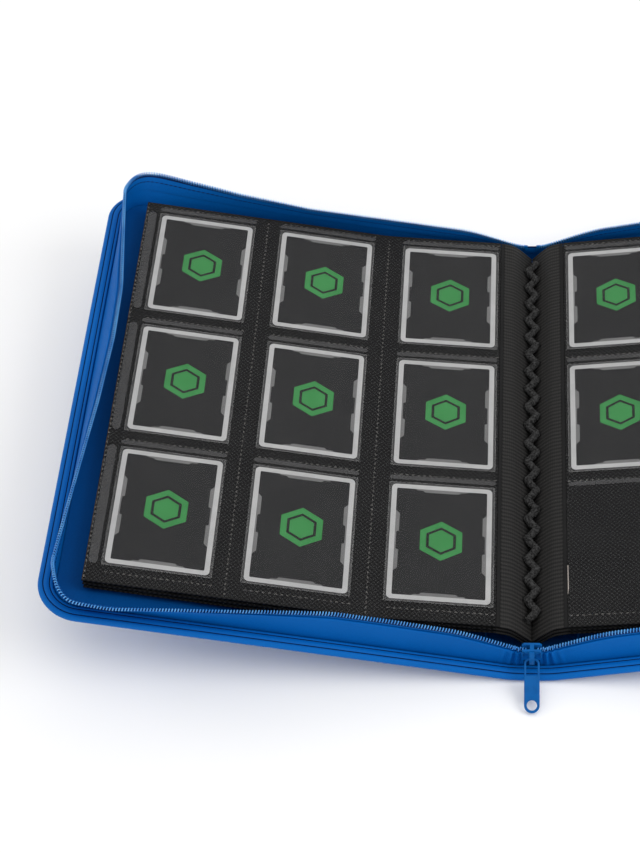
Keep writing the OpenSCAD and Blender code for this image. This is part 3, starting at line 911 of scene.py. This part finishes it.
def in_pockets(side, name, shapes, lift, materials):
    """One object of flat shapes, repeated in each filled pocket of the top leaf."""
    points, faces, finish = [], [], []
    for row in range(ROWS_FILLED[side]):
        for column in COLUMNS:
            for outer, inner, low, high, material in shapes:
                made, sides = prism(outer, low, high, inner)
                x, y, height = np.array(made).T
                start = sum(len(p) for p in points)
                points.append(leaf_point(side, column + side * x, rows_y[row] + y, lift + height))
                faces += [tuple(start + i for i in f) for f in sides]
                finish += [material] * len(sides)
    return piece(name, np.concatenate(points), faces, materials, finish, sharp=30)


def cards(side):
    """The printed cards in the top leaf's pockets."""
    page = PAGES[side]
    obj = in_pockets(side, page + "_printed_cards", card_print(), CARD_LIFT,
                     [card_field, card_border, card_notch, card_green])
    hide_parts(page + "_cards_1")
    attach(obj, page + "_leaf_1")


SLEEVE_RIM = 1.7  # a sleeve's width beyond its card
SLEEVE_FOLD = 0.3  # width of its bright folded edge


def sleeve_margins(side):
    """The doubled film of each sleeve beyond its card, with a bright fold round it."""
    page = PAGES[side]
    card = rounded_outline(CARD_W / 2, CARD_H / 2, CARD_R)
    half_w, half_h = CARD_W / 2 + SLEEVE_RIM, CARD_H / 2 + SLEEVE_RIM
    inner = rounded_outline(half_w - SLEEVE_FOLD, half_h - SLEEVE_FOLD, 0.6)
    outer = rounded_outline(half_w, half_h, 0.9)
    shapes = [(inner, card, 0.3, 0.42, 0), (outer, inner, 0.3, 0.6, 1)]
    obj = in_pockets(side, page + "_sleeve_margins", shapes, 0, [sleeve_margin, sleeve_fold])
    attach(obj, page + "_leaf_1")


# ---- gutter ----

WEB_PATH = [(0.2, 13.7), (5.3, 19.8), (12.1, 26.4), (18.9, 29.0)]  # x and z of its upper face
WEB_TO_LEAF = (21.35, 29.65)  # a lower leaf has no hem, so its fold runs on to here
WEB_T = 0.9
WEB_FOLLOWS = {1: 18.0, 2: 14.0, 3: 14.0}  # each fold follows its leaf after this


def curve_through(points):
    """Smooth curve through points in a plane."""
    points = np.array(points, float)
    line = np.vstack([2 * points[0] - points[1], points, 2 * points[-1] - points[-2]])
    out = []
    for p0, p1, p2, p3 in zip(line, line[1:], line[2:], line[3:]):
        for u in np.arange(7) / 7:
            out.append(0.5 * (2 * p1 + (p2 - p0) * u + (2 * p0 - 5 * p1 + 4 * p2 - p3) * u ** 2
                              + (3 * p1 - p0 - 3 * p2 + p3) * u ** 3))
    return np.array(out + [points[-1]])


def web(side, leaf):
    """Fold of one leaf, from the seam in the gutter to its crease."""
    page = PAGES[side]
    path = WEB_PATH if leaf == 1 else WEB_PATH + [WEB_TO_LEAF]
    line = curve_through(path) - [0, LEAF_PITCH * (leaf - 1)]
    step = unit(np.gradient(line, axis=0))
    normal = np.stack([-step[:, 1], step[:, 0]], 1)
    section = np.concatenate([line, (line - normal * WEB_T)[::-1]])
    y = np.linspace(-PAGE_H / 2, PAGE_H / 2, 60)
    rings = np.zeros((len(y), len(section), 3))
    rings[:, :, 0] = side * section[:, 0]
    rings[:, :, 1] = y[:, None]
    rings[:, :, 2] = section[:, 1]
    obj = piece(f"{page}_fold_{leaf}", rings.reshape(-1, 3), tube(*rings.shape[:2]), web_cloth,
                uv=ring_uv(rings))
    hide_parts(f"{page}_web_{leaf}")
    body = f"{page}_hem_1" if leaf == 1 else f"{page}_leaf_{leaf}"
    blended(obj, side, 0.5, WEB_FOLLOWS[leaf], body)


LACE_LOBES, LACE_STEP = 40, 7.75  # lobes down the gutter, and from one to the next
LACE_REACH, LACE_Z, LACE_R = 3.3, 19.9, 2.3


def lacing():
    """Thick yarn zigzag that ties the leaves down the gutter."""
    steps = (LACE_LOBES - 1) * 10 + 1
    turn = np.linspace(0, LACE_LOBES - 1, steps)
    x = -LACE_REACH * 2 / math.pi * np.arcsin(0.985 * np.cos(math.pi * turn))
    y = (turn - (LACE_LOBES - 1) / 2) * LACE_STEP
    z = LACE_Z + 0.5 * np.cos(2 * math.pi * turn)
    line = np.stack([x, y, z], 1)
    way = unit(np.gradient(line, axis=0))
    flat = unit(np.cross(way, (0, 0, 1)))
    up = np.cross(flat, way)
    swell = 1.12 - 0.45 * np.exp(-(turn % 1) * 3.2) * smooth((turn % 1) * 6)
    rounds = 16
    rng = np.random.default_rng(7)
    points = np.zeros((steps, rounds, 3))
    for j in range(rounds):
        a = 2 * math.pi * j / rounds
        r = LACE_R * swell + 0.16 * np.sin(turn * 21 + 3 * a) + rng.normal(0, 0.07, steps)
        points[:, j] = line + (flat * math.cos(a) + up * math.sin(a)) * r[:, None]
    obj = piece("gutter_yarn", points.reshape(-1, 3), tube(steps, rounds), lace_yarn, sharp=80)
    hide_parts("gutter_lacing")
    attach(obj, "spine")


# ---- zip slider, pull and stops ----

def bevelled(obj, width):
    """Rounds the edges of a hard piece."""
    modifier = obj.modifiers.new("edges", "BEVEL")
    modifier.width, modifier.segments, modifier.limit_method = width * MM, 3, "ANGLE"
    return obj


def block(low, high):
    """Points and faces of a box between two corners."""
    points = [(x, y, z) for x in (low[0], high[0]) for y in (low[1], high[1]) for z in (low[2], high[2])]
    faces = [(0, 1, 3, 2), (4, 6, 7, 5), (0, 4, 5, 1), (2, 3, 7, 6), (0, 2, 6, 4), (1, 5, 7, 3)]
    return points, faces


def plate(outline_points, y0, y1):
    """Points and faces of a plate whose outline is in x and z, between two y."""
    made, faces = prism(outline_points, y0, y1)
    return [(x, y, z) for x, z, y in made], faces


def mirrored(right):
    """Right half of an outline, followed by its mirror image."""
    return right + [(-x, y) for x, y in reversed(right)]


def joined(parts):
    """One list of points and faces from several."""
    points, faces = [], []
    for made, sides in parts:
        start = len(points)
        points += [tuple(p) for p in made]
        faces += [tuple(start + i for i in f) for f in sides]
    return points, faces


TAPE_Y = -171.6  # the closed tapes' middle plane, between the plates
PLATE_GAP, PLATE_T = 1.6, 1.4


def slider():
    """Zip slider: two plates, their side lips, the post between them, and the bail in front."""
    low, high = box_mm("zip_slider")
    z0, z1 = low[2], high[2]
    top, waist = high[0], high[0] * 0.82
    back = mirrored([(waist - 1.2, z0), (waist, z0 + 1.2), (top, z1 - 3.5), (top, z1 - 1.2), (top - 1.4, z1)])
    front = mirrored([(1.8, z0), (2.1, z1 - 3.4), (top - 1.0, z1 - 1.7), (top - 0.2, z1 - 1.1),
                      (top - 0.8, z1)])
    front_y, back_y = TAPE_Y - PLATE_GAP, TAPE_Y + PLATE_GAP
    bail_y = front_y - PLATE_T
    parts = [plate(front, bail_y, front_y), plate(back, back_y, back_y + PLATE_T)]
    for x0, x1 in ((-top, 1.0 - top), (top - 1.0, top)):
        for y0, y1 in ((front_y - 0.2, TAPE_Y - 0.75), (TAPE_Y + 0.75, back_y + 0.2)):
            parts.append(block((x0, y0, z0 + 1.6), (x1, y1, z1 - 4.2)))
    parts.append(block((-1.3, front_y - 0.5, z1 - 4), (1.3, back_y + 0.5, z1)))
    arch = [(0.3, z1 - 0.6), (-2.2, z1 - 0.5), (-3.6, z1 - 1.3), (-4.2, z1 - 2.8), (-4.2, z0 + 3.4),
            (-3.8, z0 + 2.0), (-2.9, z0 + 1.1), (0.3, z0 + 1.0), (0.3, z0 + 2.1), (-2.5, z0 + 2.2),
            (-3.1, z0 + 2.9), (-3.1, z1 - 3.0), (-2.6, z1 - 1.9), (0.3, z1 - 1.7)]
    made, faces = prism([(bail_y + y, z) for y, z in arch], -1.55, 1.55)
    parts.append(([(x, y, z) for y, z, x in made], faces))
    obj = bevelled(piece("slider_body", *joined(parts), zip_enamel), 0.28)
    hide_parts("zip_slider")
    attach(obj, "zip_slider")


PULL_HALF_W, PULL_T, PULL_SLOPE = 4.6, 1.6, math.radians(26.5)
PULL_TIP, PULL_HOLE_R = 26.7, 3.05  # from the pivot to the hole's middle, and its radius
PULL_WIRE, PULL_RING_LEN = 1.25, 9.0  # the ring at the pull's head
SHOULDER_R, SHOULDER_Y = 2.9, -1.9


def shoulder(r, steps):
    """Round upper corner of the pull or of its ring, from its side to its top."""
    return [(PULL_HALF_W - SHOULDER_R + r * math.cos(a), SHOULDER_Y + r * math.sin(a))
            for a in np.linspace(0, math.pi / 2, steps)]


def pull():
    """Zip pull: a flat tab with a hole at its tip and a wire-like ring at its head."""
    pivot = Vector(joints["zip_pull_swing"]["pos_m"])
    outer = [(-PULL_HALF_W * math.cos(a), -PULL_TIP - PULL_HALF_W * math.sin(a))
             for a in np.linspace(0, math.pi, 40)]
    outer += mirrored(shoulder(SHOULDER_R, 9))
    body = piece("pull_tab", *prism(outer, -PULL_T / 2, PULL_T / 2), zip_enamel)
    side_x = PULL_HALF_W - PULL_WIRE
    ring = mirrored([(side_x, -PULL_RING_LEN), (side_x, -2.0)] + shoulder(SHOULDER_R - PULL_WIRE, 8))
    circle = [(PULL_HOLE_R * math.cos(a), -PULL_TIP + PULL_HOLE_R * math.sin(a))
              for a in 2 * math.pi * np.arange(48) / 48]
    for cut_outline in (ring, circle):
        cutter = piece("cutter", *prism(cut_outline, -PULL_T, PULL_T), zip_enamel)
        hole_cut = body.modifiers.new("cut", "BOOLEAN")
        hole_cut.object, hole_cut.operation, hole_cut.solver = cutter, "DIFFERENCE", "EXACT"
        bpy.context.view_layer.update()
        cut_body = body.evaluated_get(bpy.context.evaluated_depsgraph_get())
        shape = bpy.data.meshes.new_from_object(cut_body)
        body.modifiers.clear()
        body.data = shape
        bpy.data.objects.remove(cutter)
    body.data.transform(Matrix.Translation(pivot) @ Matrix.Rotation(PULL_SLOPE, 4, "X"))
    bevelled(body, 0.3)
    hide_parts("zip_pull")
    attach(body, "zip_pull")


def stops():
    """The zip's bottom stop, and the pair of top stops."""
    obj = bevelled(piece("bottom_stop", *block(*box_mm("zip_bottom_stop")), zip_enamel), 0.5)
    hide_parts("zip_bottom_stop")
    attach(obj, "spine")
    low, high = box_mm("zip_top_stops")
    wide = 2.4
    parts = [block((x, low[1], low[2]), (x + wide, high[1], high[2])) for x in (low[0], high[0] - wide)]
    obj = bevelled(piece("top_stops", *joined(parts), zip_enamel), 0.5)
    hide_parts("zip_top_stops")
    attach(obj, "spine")


# ---- build ----

for side in COVERS:
    cover_shell(side)
    lining(side)
    gusset(side)
    teeth(side)
    stitches(side)
    leaf_sheets(side)
    pocket_film(side)
    film_bars(side)
    weld_dots(side)
    page_bead(side)
    if ROWS_FILLED[side] < len(rows_y):
        film_glints(side)
    cards(side)
    sleeve_margins(side)
    for leaf in (1, 2, 3):
        web(side, leaf)
lacing()
slider()
pull()
stops()

# CAD nodes that stay in view as they are, by the end of their name, with their materials
# the zip tape stub takes the dark tape cloth, painted shade behind the slider
KEPT = {"_board": board_grey, "_hem_1": page_cloth, "_sleeves_1": sleeve_clear,
        "spine_stiffener": spine_black, "binding_strip": spine_black, "zip_tape_stub": tape_stub_painted_shade}
for node, kept in frame["nodes"].items():
    for ending, material in KEPT.items():
        if node.endswith(ending):
            kept.data.materials.clear()
            kept.data.materials.append(material)
